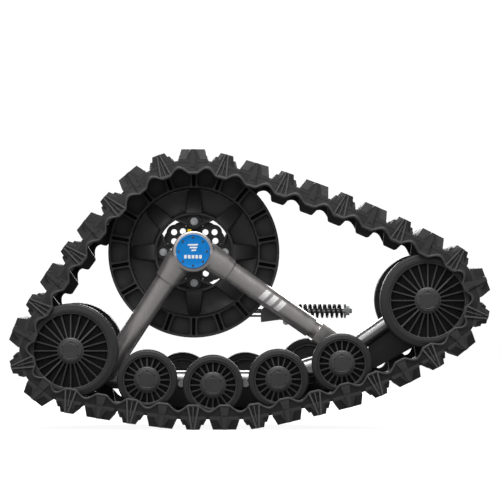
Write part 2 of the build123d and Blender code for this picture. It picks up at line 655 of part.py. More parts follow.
# ------------------------------------------------------------------ wheels
HUB_RADIUS = 26.5
RIM_FLANGE = 4.0
SPOKE_DEPTH = 9.0


def make_wheel(name, x, z, side, face_y, radius, rim_radius, slots, slot_width):
    """Tyre and spoked wheel with its hub cap, facing the outer side (-1) or the vehicle (+1)."""
    face = facing(x, face_y, z, side)
    with BuildPart() as tyre:
        with BuildSketch(face):
            Circle(radius)
            Circle(rim_radius, mode=Mode.SUBTRACT)
        extrude(amount=-WHEEL_WIDTH)
        outer_edges = tyre.edges().filter_by(GeomType.CIRCLE).filter_by(lambda e: e.radius > radius - 1)
        fillet(outer_edges, 5)
    save(tyre.part, f"{name}_tyre")

    slot_inner, slot_outer = HUB_RADIUS + 4, rim_radius - RIM_FLANGE
    with BuildPart() as wheel:
        with BuildSketch(face.offset(-5)):
            Circle(rim_radius)
            Circle(WHEEL_BEARING_OUTER + RUNNING_FIT, mode=Mode.SUBTRACT)
        extrude(amount=-16)
        with BuildSketch(face.offset(-5)):
            with PolarLocations((slot_inner + slot_outer) / 2, slots):
                Rectangle(slot_outer - slot_inner, slot_width)
        extrude(amount=-SPOKE_DEPTH, mode=Mode.SUBTRACT)
        with BuildSketch(face.offset(-1)):
            Circle(rim_radius)
            Circle(rim_radius - RIM_FLANGE, mode=Mode.SUBTRACT)
        extrude(amount=2 - WHEEL_WIDTH)
        with BuildSketch(face.offset(-3)):
            Circle(HUB_RADIUS)
            Circle(WHEEL_BEARING_OUTER + RUNNING_FIT, mode=Mode.SUBTRACT)
        extrude(amount=5 - WHEEL_WIDTH)
        with BuildSketch(face.offset(2.5)):
            Circle(HUB_RADIUS)
        extrude(amount=-5.3)
    save(wheel.part, f"{name}_wheel")


for name, centre, radius in (
    ("front_idler", FRONT_IDLER, IDLER_PATH_RADIUS - WHEEL_GAP),
    ("rear_idler", REAR_IDLER, REAR_IDLER_PATH_RADIUS - REAR_IDLER_GAP),
):
    make_wheel(f"{name}_outer", *centre, -1, OUTER_WHEEL_FACE_Y, radius, 89, 24, 6.5)
    make_wheel(f"{name}_inner", *centre, 1, INNER_WHEEL_FACE_Y, radius, 89, 24, 6.5)

for number, centre in enumerate(OUTER_ROLLERS, 1):
    make_wheel(f"outer_roller_{number}", *centre, -1, OUTER_WHEEL_FACE_Y,
               ROLLER_PATH_RADIUS - WHEEL_GAP, 56, 20, 7)
for number, centre in enumerate(INNER_ROLLERS, 1):
    make_wheel(f"inner_roller_{number}", *centre, 1, INNER_WHEEL_FACE_Y,
               ROLLER_PATH_RADIUS - WHEEL_GAP, 56, 20, 7)


def wheel_hardware(name, axles):
    """Bearings and retaining bolts for the wheels on (x, z, radius, ends) axles."""
    with BuildPart() as bearings:
        for x, z, radius, ends in axles:
            for end, side in ends:
                inner = end - side * WHEEL_BEARING_WIDTH
                bar(x, z, WHEEL_BEARING_OUTER, min(end, inner), max(end, inner))
                bar(x, z, radius, min(end, inner), max(end, inner), Mode.SUBTRACT)
    save(bearings.part, f"{name}_bearings")

    with BuildPart() as bolts:
        for x, z, _, ends in axles:
            for end, side in ends:
                bar(x, z, 14, min(end, end + 2.5 * side), max(end, end + 2.5 * side))
                with BuildSketch(facing(x, end + 2.5 * side, z, side)):
                    RegularPolygon(9.5, 6)
                extrude(amount=6)
    save(bolts.part, f"{name}_bolts")


OUTER_END = (OUTER_AXLE_END, -1)
INNER_END = (INNER_AXLE_END, 1)
wheel_hardware(
    "wheel",
    [(*FRONT_IDLER, IDLER_AXLE_RADIUS, [OUTER_END, INNER_END])]
    + [(x, z, ROLLER_AXLE_RADIUS, [OUTER_END]) for x, z in OUTER_ROLLERS]
    + [(x, z, ROLLER_AXLE_RADIUS, [INNER_END]) for x, z in INNER_ROLLERS],
)
wheel_hardware("rear_idler", [(*REAR_IDLER, IDLER_AXLE_RADIUS, [OUTER_END, INNER_END])])
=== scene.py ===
import math

import bmesh
import bpy
from mathutils import Matrix, Vector


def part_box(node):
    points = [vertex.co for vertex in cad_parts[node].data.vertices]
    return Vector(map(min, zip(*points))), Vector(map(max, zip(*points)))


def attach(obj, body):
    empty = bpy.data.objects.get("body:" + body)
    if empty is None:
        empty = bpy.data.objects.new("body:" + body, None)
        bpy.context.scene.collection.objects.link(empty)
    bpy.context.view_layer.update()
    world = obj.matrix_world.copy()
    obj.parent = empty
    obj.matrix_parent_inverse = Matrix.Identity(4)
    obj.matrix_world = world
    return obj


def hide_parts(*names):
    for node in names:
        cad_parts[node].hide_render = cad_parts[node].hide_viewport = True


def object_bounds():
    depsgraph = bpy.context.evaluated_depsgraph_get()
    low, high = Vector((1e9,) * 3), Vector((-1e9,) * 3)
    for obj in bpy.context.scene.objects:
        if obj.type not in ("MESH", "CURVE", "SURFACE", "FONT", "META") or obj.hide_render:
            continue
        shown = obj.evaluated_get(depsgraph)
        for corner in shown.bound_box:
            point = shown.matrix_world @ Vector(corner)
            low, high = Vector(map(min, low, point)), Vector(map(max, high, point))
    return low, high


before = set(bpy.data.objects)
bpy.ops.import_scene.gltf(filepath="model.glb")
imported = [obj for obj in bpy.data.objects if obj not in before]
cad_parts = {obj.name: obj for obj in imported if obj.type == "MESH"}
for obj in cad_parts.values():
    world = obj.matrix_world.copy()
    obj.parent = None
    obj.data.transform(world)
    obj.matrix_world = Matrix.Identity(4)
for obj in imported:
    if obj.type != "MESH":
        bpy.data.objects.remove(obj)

cad_low, cad_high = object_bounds()

# Looks for a rubber track unit. Metres, in the CAD frame: the drive axis is Y, the outer side faces -Y.

# ------------------------------------------------------------------ sizes
CARCASS_THICKNESS = 0.008
NEUTRAL = CARCASS_THICKNESS / 2
LUG_COUNT = 36
LUG_TIP = 0.033
EDGE_CREST = 0.027
EDGE_VALLEY = 0.0126
EDGE_STEPS = 22
# supports of the belt: a CAD node, the clearance between it and the belt, and the radius of the
# shallow outward arc that follows it, counter-clockwise seen from outside
SUPPORTS = [
    ("drive_sprocket", 0.003, 1.560),
    ("front_idler_outer_tyre", 0.0005, 3.000),
    ("inner_roller_1_tyre", 0.0005, 8.000),
    ("inner_roller_2_tyre", 0.0005, 8.000),
    ("outer_roller_3_tyre", 0.0005, 8.000),
    ("outer_roller_4_tyre", 0.0005, 1.250),
    ("rear_idler_outer_tyre", 0.0018, 2.475),
]


# ------------------------------------------------------------------ mesh helpers
def loft(bm, rings, wrap=False):
    """Skin through rings of points. The ends are capped unless the last ring joins the first."""
    loops = [[bm.verts.new(point) for point in ring] for ring in rings]
    pairs = list(zip(loops, loops[1:]))
    if wrap:
        pairs.append((loops[-1], loops[0]))
    rows = []
    for low, high in pairs:
        row = []
        for index in range(len(low)):
            following = (index + 1) % len(low)
            row.append(bm.faces.new((low[index], low[following], high[following], high[index])))
        rows.append(row)
    if not wrap:
        bm.faces.new(loops[0])
        bm.faces.new(list(reversed(loops[-1])))
    return rows


def lathe(bm, centre, profile, segments=96, wrap=False):
    """Surface of revolution about Y through centre (x, z). The profile is (radius, y) pairs."""
    rings = []
    for radius, y in profile:
        turns = [math.tau * index / segments for index in range(segments)]
        rings.append([
            (centre[0] + radius * math.cos(a), y, centre[1] + radius * math.sin(a)) for a in turns
        ])
    return loft(bm, rings, wrap)


def turned(bm, origin, axis, profile, segments=64):
    """Surface of revolution about any axis. The profile is (radius, distance along the axis) pairs."""
    axis = Vector(axis).normalized()
    first = axis.cross(Vector((0, 1, 0)) if abs(axis.y) < 0.9 else Vector((1, 0, 0))).normalized()
    second = axis.cross(first)
    rings = []
    for radius, distance in profile:
        centre = Vector(origin) + axis * distance
        turns = [math.tau * index / segments for index in range(segments)]
        rings.append([centre + (first * math.cos(a) + second * math.sin(a)) * radius for a in turns])
    return loft(bm, rings)


def prism(bm, outline, y_from, y_to, place=None):
    """Outline of (x, z) points extruded along Y, and then placed by a matrix."""
    place = place or Matrix.Identity(4)
    rings = [[place @ Vector((x, y, z)) for x, z in outline] for y in (y_from, y_to)]
    return loft(bm, rings)


def soften(bm, width, angle=28, segments=2, edges=None):
    """Round the edges that are sharper than angle."""
    if edges is None:
        edges = [e for e in bm.edges
                 if len(e.link_faces) == 2 and e.calc_face_angle(0) > math.radians(angle)]
    bmesh.ops.bevel(bm, geom=edges, offset=width, segments=segments, profile=0.6,
                    affect="EDGES", clamp_overlap=True)


def piece(name, bm, material, body, replaces=(), angle=32, extra=()):
    """Turn a bmesh into a piece that rides on a CAD body."""
    bmesh.ops.recalc_face_normals(bm, faces=bm.faces)
    mesh = bpy.data.meshes.new(name)
    bm.to_mesh(mesh)
    bm.free()
    mesh.shade_smooth()
    mesh.set_sharp_from_angle(angle=math.radians(angle))
    obj = bpy.data.objects.new(name, mesh)
    bpy.context.scene.collection.objects.link(obj)
    for used in (material, *extra):
        mesh.materials.append(used)
    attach(obj, body)
    if replaces:
        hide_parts(*replaces)
    return obj


def middle(node):
    """Centre (x, z) of a CAD node, its radius across X, and its y limits."""
    low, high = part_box(node)
    return ((low.x + high.x) / 2, (low.z + high.z) / 2), (high.x - low.x) / 2, low.y, high.y


# ------------------------------------------------------------------ materials
def surface(name, dark, light, roughness, metallic=0.0, mottle=9.0, grain=900.0, relief=0.00015,
            edge_highlight=None, recess_shade=None, coat=0.0, flake=0.0, specular=0.5):
    """Procedural finish: mottled colour, uneven roughness, grain, a painted highlight on sharp edges and painted
    shade in recesses.
    """
    material = bpy.data.materials.new(name)
    material.use_nodes = True
    nodes, links = material.node_tree.nodes, material.node_tree.links
    shader = nodes["Principled BSDF"]
    shader.inputs["Metallic"].default_value = metallic
    shader.inputs["Specular IOR Level"].default_value = specular
    shader.inputs["Coat Weight"].default_value = coat
    shader.inputs["Coat Roughness"].default_value = 0.12
    place = nodes.new("ShaderNodeTexCoord").outputs["Object"]

    def noise(scale, detail):
        node = nodes.new("ShaderNodeTexNoise")
        node.inputs["Scale"].default_value = scale
        node.inputs["Detail"].default_value = detail
        links.new(place, node.inputs["Vector"])
        return node.outputs[0]

    def ramp(source, stops):
        node = nodes.new("ShaderNodeValToRGB")
        elements = node.color_ramp.elements
        for element, (at, colour) in zip(elements, (stops[0], stops[-1])):
            element.position, element.color = at, (*colour, 1)
        for at, colour in stops[1:-1]:
            elements.new(at).color = (*colour, 1)
        links.new(source, node.inputs[0])
        return node.outputs[0]

    def mix(kind, factor, a, b):
        node = nodes.new("ShaderNodeMix")
        node.data_type = "RGBA"
        node.blend_type = kind
        for socket, value in ((node.inputs[0], factor), (node.inputs[6], a), (node.inputs[7], b)):
            if hasattr(value, "links"):
                links.new(value, socket)
            else:
                socket.default_value = value
        return node.outputs[2]

    colour = ramp(noise(mottle, 5.0), [(0.3, dark), (0.7, light)])
    if flake:
        fleck = ramp(noise(2600.0, 1.0), [(0.45, (0.7,) * 3), (0.75, (1.0 + flake,) * 3)])
        colour = mix("MULTIPLY", 1.0, colour, fleck)
    # Painted shade: ambient occlusion darkens the base colour in recesses and creases.
    if recess_shade:
        occlusion = nodes.new("ShaderNodeAmbientOcclusion")
        occlusion.samples = 6
        occlusion.inputs["Distance"].default_value = recess_shade
        shade = ramp(occlusion.outputs["AO"], [(0.15, (0.12,) * 3), (0.85, (1.0,) * 3)])
        colour = mix("MULTIPLY", 1.0, colour, shade)
    # Painted highlight: sharp edges, found by pointiness, get a paler base colour.
    if edge_highlight:
        point = nodes.new("ShaderNodeNewGeometry").outputs["Pointiness"]
        edge = ramp(point, [(0.52, (0, 0, 0)), (0.62, (1, 1, 1))])
        colour = mix("MIX", edge, colour, (*edge_highlight, 1))
    links.new(colour, shader.inputs["Base Color"])
    low, high = max(roughness - 0.08, 0.02), min(roughness + 0.08, 1.0)
    links.new(ramp(noise(60.0, 4.0), [(0.3, (low,) * 3), (0.7, (high,) * 3)]), shader.inputs["Roughness"])
    bump = nodes.new("ShaderNodeBump")
    bump.inputs["Strength"].default_value = 0.6
    bump.inputs["Distance"].default_value = relief
    links.new(noise(grain, 3.0), bump.inputs["Height"])
    links.new(bump.outputs[0], shader.inputs["Normal"])
    return material


# The paler edge colours below paint a highlight on sharp edges, and the recess distances paint shade into recesses
# and creases.
TRACK_RUBBER = surface("track_rubber", (0.012, 0.012, 0.0125), (0.026, 0.026, 0.027), 0.58,
                       edge_highlight=(0.035, 0.035, 0.036), recess_shade=0.02, relief=0.0003, specular=0.3)
# Paler copy of the track rubber: a painted highlight on the rounded edge bead and on the narrow lugs' ribs.
LIT_EDGE_RUBBER = surface("track_rubber_painted_highlight", (0.026, 0.026, 0.027), (0.04, 0.04, 0.041), 0.5,
                      edge_highlight=(0.08, 0.08, 0.082), relief=0.0002, specular=0.35)
TYRE_RUBBER = surface("tyre_rubber", (0.017, 0.017, 0.0175), (0.025, 0.025, 0.026), 0.5,
                      edge_highlight=(0.05, 0.05, 0.052), recess_shade=0.02, relief=0.0001, specular=0.35)
WHEEL_PLASTIC = surface("wheel_plastic", (0.034, 0.034, 0.035), (0.046, 0.046, 0.047), 0.4,
                        edge_highlight=(0.09, 0.09, 0.092), grain=1500.0, relief=0.00005, specular=0.4)
SPROCKET_PLASTIC = surface("sprocket_plastic", (0.030, 0.030, 0.031), (0.042, 0.042, 0.043), 0.42,
                           edge_highlight=(0.1, 0.1, 0.102), recess_shade=0.02, grain=1500.0, relief=0.00006, specular=0.4)
# Near-black: the real slide rail's plastic, and also painted shade on slot floors, slot walls and the dots on the
# wheel caps.
SLIDE_PLASTIC_AND_SHADE = surface("slide_plastic", (0.006, 0.006, 0.006), (0.01, 0.01, 0.01), 0.5, specular=0.25)
FRAME_METAL = surface("frame_metal", (0.62, 0.588, 0.584), (0.7, 0.665, 0.66), 0.36, metallic=0.85,
                      flake=0.35, grain=1800.0, relief=0.00003, coat=0.15)
BRIGHT_METAL = surface("bright_metal", (0.28, 0.28, 0.28), (0.36, 0.36, 0.36), 0.36, metallic=1.0,
                       grain=2200.0, relief=0.00002)
ZINC = surface("zinc_steel", (0.5, 0.51, 0.52), (0.66, 0.67, 0.68), 0.34, metallic=1.0, mottle=140.0)
BLACK_STEEL = surface("black_steel", (0.012, 0.012, 0.0125), (0.022, 0.022, 0.023), 0.45,
                      edge_highlight=(0.07, 0.07, 0.07), grain=2600.0, relief=0.0001, specular=0.35)
DARK_STEEL = surface("dark_steel", (0.016, 0.016, 0.0165), (0.028, 0.028, 0.029), 0.38,
                     metallic=0.3, coat=0.2, specular=0.4)
CAP_BLUE = surface("cap_blue", (0.0, 0.18, 0.57), (0.0, 0.21, 0.6), 0.45, mottle=30.0, grain=1500.0,
                   relief=0.00004, specular=0.25)
CAP_YELLOW = surface("cap_yellow", (0.75, 0.5, 0.0), (0.9, 0.66, 0.02), 0.4)
MARK_WHITE = surface("mark_white", (0.8, 0.8, 0.8), (0.9, 0.9, 0.9), 0.5, relief=0.00002)

# ------------------------------------------------------------------ belt path


def span_centre(a, b):
    """Centre of the large arc that wraps circles a and b and touches both from outside."""
    reach_a, reach_b = a[3] - a[2], a[3] - b[2]
    dx, dz = b[0] - a[0], b[1] - a[1]
    distance = math.hypot(dx, dz)
    along = (distance**2 + reach_a**2 - reach_b**2) / (2 * distance)
    inward = math.sqrt(reach_a**2 - along**2)
    ux, uz = dx / distance, dz / distance
    return a[0] + ux * along - uz * inward, a[1] + uz * along + ux * inward


def belt_arcs():
    """The closed contact line as arcs (centre x, centre z, radius, start angle, end angle)."""
    circles = []
    for node, clearance, bulge in SUPPORTS:
        centre, radius, _, _ = middle(node)
        circles.append((*centre, radius + clearance, bulge))
    spans = []
    for index, circle in enumerate(circles):
        following = circles[(index + 1) % len(circles)]
        cx, cz = span_centre(circle, following)
        start = math.atan2(circle[1] - cz, circle[0] - cx)
        end = math.atan2(following[1] - cz, following[0] - cx)
        spans.append((cx, cz, circle[3], start, end))
    arcs = []
    for index, circle in enumerate(circles):
        arcs.append((*circle[:3], spans[index - 1][4], spans[index][3]))
        arcs.append(spans[index])
    return [(x, z, r, a, a + (b - a) % math.tau) for x, z, r, a, b in arcs]


BELT_ARCS = belt_arcs()
ARC_LENGTHS = [(arc[2] + NEUTRAL) * (arc[4] - arc[3]) for arc in BELT_ARCS]
BELT_LENGTH = sum(ARC_LENGTHS)
PITCH = BELT_LENGTH / LUG_COUNT
FIRST_LUG = (BELT_ARCS[0][2] + NEUTRAL) * (math.pi / 2 - BELT_ARCS[0][3])


def belt_place(travel):
    """Matrix of the belt at a travel: local X back along it, Y across, Z out from the contact line."""
    travel %= BELT_LENGTH
    for arc, length in zip(BELT_ARCS, ARC_LENGTHS):
        if travel <= length:
            break
        travel -= length
    angle = arc[3] + travel / (arc[2] + NEUTRAL)
    c, s = math.cos(angle), math.sin(angle)
    x, z = arc[0] + arc[2] * c, arc[1] + arc[2] * s
    return Matrix(((s, 0, c, x), (0, 1, 0, 0), (-c, 0, s, z), (0, 0, 0, 1)))


LUG_PLACES = [belt_place(FIRST_LUG + number * PITCH) for number in range(LUG_COUNT)]
_, _, TRACK_OUTER, TRACK_INNER = middle("track_carcass")


# ------------------------------------------------------------------ track carcass
def edge_depth(phase):
    """How far the wavy edge stands inside the contact line, with phase 0 at a lug and 1 at the next."""
    midway = 1 - abs(phase % 1.0 - 0.5) * 2
    rise = max((midway - 0.3) / 0.7, 0.0)
    return EDGE_CREST - (EDGE_CREST - EDGE_VALLEY) * math.sin(math.pi / 2 * rise) ** 1.3


def belt_section(depth):
    """Closed outline (distance in from the track edge, outward) of one edge, from inside to outside."""
    return [
        (0.0100, 0.0), (0.0086, -0.0015), (0.0082, 0.004 - depth), (0.0074, 0.0012 - depth),
        (0.0055, -depth), (0.0024, 0.0002 - depth), (0.0004, 0.0018 - depth), (0.0, 0.0042 - depth),
        (0.0010, 0.0064 - depth), (0.0030, 0.0074 - depth), (0.0034, 0.0086 - depth),
        (0.0036, 0.0030), (0.0046, 0.0066), (0.0075, CARCASS_THICKNESS), (0.0300, CARCASS_THICKNESS),
    ]


BEAD_HIGHLIGHT_CELLS = range(3, 10)
bm = bmesh.new()
rings = []
for step in range(LUG_COUNT * EDGE_STEPS):
    phase = step / EDGE_STEPS
    place = belt_place(FIRST_LUG + phase * PITCH)
    section = belt_section(edge_depth(phase))
    ring = [(TRACK_OUTER + inset, out) for inset, out in section]
    ring += [(TRACK_INNER - inset, out) for inset, out in reversed(section)]
    rings.append([place @ Vector((0, y, out)) for y, out in ring])
rows = loft(bm, rings, wrap=True)
section_size = len(belt_section(EDGE_CREST))
# The bead faces on both edges take the paler rubber, a painted highlight along the rounded lip.
for row in rows:
    for cell in BEAD_HIGHLIGHT_CELLS:
        row[cell].material_index = 1
        row[2 * section_size - 2 - cell].material_index = 1
piece("belt", bm, TRACK_RUBBER, "frame", ["track_carcass"], angle=50, extra=[LIT_EDGE_RUBBER])


# ------------------------------------------------------------------ tread lugs
def lug_body(bm, face, back, setback):
    """Lug bar across the belt, with a sloped end at each edge from the face outline to the back one."""
    rings = []
    for y, outline in (
        (TRACK_OUTER + 0.003, face),
        (TRACK_OUTER + setback, back),
        (TRACK_INNER - setback, back),
        (TRACK_INNER - 0.003, face),
    ):
        rings.append([(x, y, z) for x, z in outline])
    loft(bm, rings)


def both_ends(bm, outline, inset, proud):
    """A relief on both end faces: its outline, how far it is set in, and how far it stands out."""
    prism(bm, outline, TRACK_OUTER + proud, TRACK_OUTER + inset)
    prism(bm, outline, TRACK_INNER - inset, TRACK_INNER - proud)


def mirrored(half):
    """Closed outline from its right half, given from the foot to the top."""
    return half + [(-x, z) for x, z in reversed(half)]


def wide_lug():
    bm = bmesh.new()
    face = mirrored([(0.035, 0.001), (0.0345, 0.0075), (0.033, 0.0095), (0.017, 0.0095), (0.0045, 0.0322)])
    back = mirrored([(0.035, 0.001), (0.035, 0.011), (0.0272, LUG_TIP), (0.0065, LUG_TIP),
                     (0.0045, LUG_TIP)])
    lug_body(bm, face, back, 0.024)
    soften(bm, 0.0009)
    ribs = bmesh.new()
    both_ends(ribs, mirrored([(0.0115, -0.0225), (0.0030, 0.0305)]), 0.0045, 0.0012)
    both_ends(ribs, [(0.0052, -0.014), (0.0068, -0.014), (0.0062, 0.009), (0.0050, 0.009)], 0.0045, 0.0)
    both_ends(ribs, [(-0.0055, -0.009), (0.0045, -0.009), (0.0045, -0.001), (-0.0055, -0.001)], 0.0045, 0.0)
    soften(ribs, 0.0005)
    return bm, ribs


def narrow_lug():
    bm = bmesh.new()
    face = mirrored([
        (0.030, 0.001), (0.0292, 0.007), (0.0265, 0.009), (0.0235, 0.009), (0.021, 0.009), (0.0165, 0.0095),
        (0.0042, 0.0322),
    ])
    back = mirrored([
        (0.030, 0.001), (0.030, 0.011), (0.024, 0.022), (0.0195, 0.022), (0.0188, 0.0225), (0.0152, LUG_TIP),
        (0.0042, LUG_TIP),
    ])
    lug_body(bm, face, back, 0.020)
    soften(bm, 0.0009)
    ribs = bmesh.new()
    for side in (1, -1):
        rib = [(0.0145, -0.0225), (0.0045, 0.0325), (0.0012, 0.0325), (0.0105, -0.0225)]
        both_ends(ribs, [(side * x, z) for x, z in rib], 0.0045, 0.0)
    both_ends(ribs, mirrored([(0.0013, -0.0215), (0.0008, 0.016)]), 0.0045, 0.0006)
    soften(ribs, 0.0005)
    return bm, ribs


def repeated(name, template, places):
    """One mesh with a copy of the template bmesh at every place."""
    mesh = bpy.data.meshes.new(name)
    template.to_mesh(mesh)
    template.free()
    bm = bmesh.new()
    for place in places:
        before = len(bm.verts)
        bm.from_mesh(mesh)
        bm.verts.ensure_lookup_table()
        bmesh.ops.transform(bm, matrix=place, verts=bm.verts[before:])
    bpy.data.meshes.remove(mesh)
    return bm


# The narrow lugs' ribs take the paler edge rubber, a painted highlight on them.
for kind, make, places, node, rib_rubber in (
    ("wide", wide_lug, LUG_PLACES[0::2], "tread_lugs_wide", TRACK_RUBBER),
    ("narrow", narrow_lug, LUG_PLACES[1::2], "tread_lugs_narrow", LIT_EDGE_RUBBER),
):
    block, ribs = make()
    piece(f"lugs_{kind}", repeated(kind, block, places), TRACK_RUBBER, "frame", [node])
    piece(f"lug_ribs_{kind}", repeated(kind, ribs, places), rib_rubber, "frame")

# ------------------------------------------------------------------ drive lugs
_, _, DRIVE_Y0, DRIVE_Y1 = middle("drive_lugs")
bm = bmesh.new()
rings = []
for half, inset, out in ((0.034, 0.0, 0.002), (0.028, 0.0008, -0.006), (0.0195, 0.003, -0.029),
                         (0.0165, 0.0045, -0.0355), (0.013, 0.006, -0.038)):
    low, high = DRIVE_Y0 + inset, DRIVE_Y1 - inset
    rings.append([(-half, low, out), (half, low, out), (half, high, out), (-half, high, out)])
loft(bm, rings)
soften(bm, 0.0022, segments=3)
piece("guide_lugs", repeated("guide", bm, LUG_PLACES), TRACK_RUBBER, "frame", ["drive_lugs"])


# ------------------------------------------------------------------ wheels
def slotted(centre, profile, sectors, cell_angles):
    """Rings about Y whose points stand at cell_angles(radius) in every sector."""
    rings = []
    for radius, y in profile:
        angles = [math.tau * sector / sectors + a for sector in range(sectors) for a in cell_angles(radius)]
        rings.append([
            (centre[0] + radius * math.cos(a), y, centre[1] + radius * math.sin(a)) for a in angles
        ])
    return rings


def sink(bm, faces, depth, corner, floor_material=0):
    """Push a set of faces along Y by depth, and round the upright corners of the hole. The hole's floor and walls
    take material slot floor_material; where it is 1, that is the near-black painted shade.
    """
    made = bmesh.ops.extrude_face_region(bm, geom=faces)["geom"]
    bmesh.ops.delete(bm, geom=faces, context="FACES_ONLY")
    floor = [g for g in made if isinstance(g, bmesh.types.BMVert)]
    for face in made:
        if isinstance(face, bmesh.types.BMFace):
            face.material_index = floor_material
    bmesh.ops.translate(bm, verts=floor, vec=(0, depth, 0))
    low = set(floor)
    uprights = []
    for edge in bm.edges:
        ends = [v in low for v in edge.verts]
        if ends[0] != ends[1] and len(edge.link_faces) == 2 and edge.calc_face_angle(0) > math.radians(40):
            uprights.append(edge)
    soften(bm, corner, segments=3, edges=uprights)


def wheel(name, body, side):
    """Tyre, spoked wheel and cap in place of a CAD wheel, on the outer side (-1) or the vehicle's (+1)."""
    tyre_node, wheel_node = f"{name}_tyre", f"{name}_wheel"
    centre, radius, y_low, y_high = middle(tyre_node)
    face, width = (y_low, y_high - y_low) if side < 0 else (y_high, y_high - y_low)
    _, rim, _, _ = middle(wheel_node)
    inward = -side
    large = radius > 0.09
    sectors, rib, slot_depth = (24, 0.0030, 0.016) if large else (20, 0.0030, 0.015)
    cap = 0.0265

    def at(*points):
        return [(r, face + inward * d) for r, d in points]

    bm = bmesh.new()
    lathe(bm, centre, at(
        (rim, 0.0022), (rim + 0.0008, 0.0007), (rim + 0.003, 0.0), (radius - 0.012, 0.0), (radius - 0.0105, 0.0007),
        (radius - 0.006, 0.0009), (radius - 0.0028, 0.0018), (radius - 0.0008, 0.0040), (radius, 0.0075),
        (radius, width - 0.0075), (radius - 0.0008, width - 0.0040), (radius - 0.0028, width - 0.0018),
        (radius - 0.006, width - 0.0009), (rim + 0.003, width), (rim + 0.0008, width - 0.0007),
        (rim, width - 0.0022),
    ), 160 if large else 112, wrap=True)
    piece(f"{name}_rubber", bm, TYRE_RUBBER, body, [tyre_node], angle=40)

    def cell_angles(r):
        half = math.asin(rib / 2 / max(r, cap))
        gap = math.tau / sectors - 2 * half
        return [-half, half, half + gap / 3, half + 2 * gap / 3]

    slot_from, slot_to = cap + 0.0042, rim - 0.0030
    profile = at(
        (0.006, -0.0004), (cap + 0.0006, 0.0020), (cap + 0.0020, 0.0024), (cap + 0.0030, 0.0034),
        (slot_from, 0.0040), (slot_to, 0.0042), (rim - 0.0024, 0.0028), (rim - 0.0018, 0.0014),
        (rim - 0.0008, 0.0010), (rim, 0.0022), (rim, width - 0.0020), (rim - 0.0010, width - 0.0010),
        (rim - 0.0040, width - 0.0010), (rim - 0.0046, width - 0.0040), (rim - 0.0060, 0.0230),
        (cap + 0.0010, 0.0225), (cap - 0.0005, width - 0.0040), (0.0215, width - 0.0030),
        (0.0205, width - 0.0035), (0.0204, 0.0250),
    )
    bm = bmesh.new()
    rings = slotted(centre, profile, sectors, cell_angles)
    rows = loft(bm, rings)
    # The slot floors and walls take the near-black plastic: painted shade in the slots.
    slots = [f for index, f in enumerate(rows[4]) if index % 4 != 0]
    sink(bm, slots, inward * slot_depth, 0.0016, floor_material=1)
    piece(f"{name}_spokes", bm, WHEEL_PLASTIC, body, [wheel_node], angle=30,
          extra=[SLIDE_PLASTIC_AND_SHADE])

    bm = bmesh.new()
    lathe(bm, centre, at(
        (0.0060, -0.00245), (0.0165, -0.0024), (0.0172, -0.0020), (0.0180, -0.0020), (0.0187, -0.0024),
        (0.0228, -0.0022), (0.0248, -0.0016), (0.0260, -0.0004), (cap, 0.0012), (cap, 0.0050), (0.0200, 0.0055),
    ), 72)
    # Six tiny near-black discs stand in for the cap's screw holes: painted shade.
    for turn in (90, 30, 150, 270, 210, 330):
        a = math.radians(turn)
        spot = (centre[0] + 0.0213 * math.cos(a), centre[1] + 0.0213 * math.sin(a))
        rows = lathe(bm, spot, at((0.0003, -0.00252), (0.0016, -0.00252), (0.0017, -0.0020)), 16)
        for row in rows:
            for f in row:
                f.material_index = 1
    piece(f"{name}_cap", bm, WHEEL_PLASTIC, body, angle=25, extra=[SLIDE_PLASTIC_AND_SHADE])


for name in ("front_idler_outer", "rear_idler_outer", *(f"outer_roller_{n}" for n in range(1, 5))):
    wheel(name, name, -1)
for name in ("front_idler_inner", "rear_idler_inner", *(f"inner_roller_{n}" for n in range(1, 4))):
    wheel(name, name, 1)

# ------------------------------------------------------------------ sprocket
SPROCKET_SECTORS = 18
SPOKES = 8
EARS = 4
SLOT_HALF = 0.0043
WALL_OUTER = 0.0078
_, SPROCKET_RADIUS, RIM_FRONT, RIM_BACK = middle("drive_sprocket")
DISH = 0.152
RING_INNER, RING_OUTER = 0.0885, 0.096
WEB_FRONT, WEB_BACK = -0.030, -0.008
GROOVE_FRONT, GROOVE_BACK, GROOVE_RADIUS = -0.048, -0.012, 0.165
EAR_BOLT = 0.0734
EAR_SPREAD = 29


def sprocket_cells(r):
    slot, wall = math.asin(SLOT_HALF / r), math.asin(WALL_OUTER / r)
    sector = math.tau / SPROCKET_SECTORS
    gap = sector - 2 * wall
    quarter = math.pi / 2
    return [quarter + a for a in (-wall, -slot, slot, wall,
                                  wall + gap / 4, wall + gap / 2, wall + 3 * gap / 4)]


SPROCKET_PROFILE = [
    (RING_INNER, WEB_BACK), (RING_INNER, -0.0425), (RING_INNER + 0.0012, -0.0440), (RING_OUTER - 0.0012, -0.0440),
    (RING_OUTER, -0.0425), (RING_OUTER + 0.0015, -0.0320), (RING_OUTER + 0.006, -0.0302), (0.146, -0.0300),
    (0.1505, -0.0320), (DISH, -0.0370), (DISH + 0.0005, RIM_FRONT + 0.0016), (DISH + 0.0022, RIM_FRONT),
    (0.1560, RIM_FRONT), (0.1975, RIM_FRONT), (SPROCKET_RADIUS - 0.002, RIM_FRONT),
    (SPROCKET_RADIUS, RIM_FRONT + 0.002), (SPROCKET_RADIUS, GROOVE_FRONT - 0.0015),
    (SPROCKET_RADIUS - 0.0015, GROOVE_FRONT), (GROOVE_RADIUS, GROOVE_FRONT), (GROOVE_RADIUS, GROOVE_BACK),
    (SPROCKET_RADIUS - 0.0015, GROOVE_BACK), (SPROCKET_RADIUS, GROOVE_BACK + 0.0015),
    (SPROCKET_RADIUS, RIM_BACK - 0.002), (SPROCKET_RADIUS - 0.002, RIM_BACK), (0.1975, RIM_BACK),
    (0.1560, RIM_BACK), (DISH + 0.0022, RIM_BACK), (DISH, RIM_BACK - 0.002), (DISH - 0.001, WEB_BACK),
]
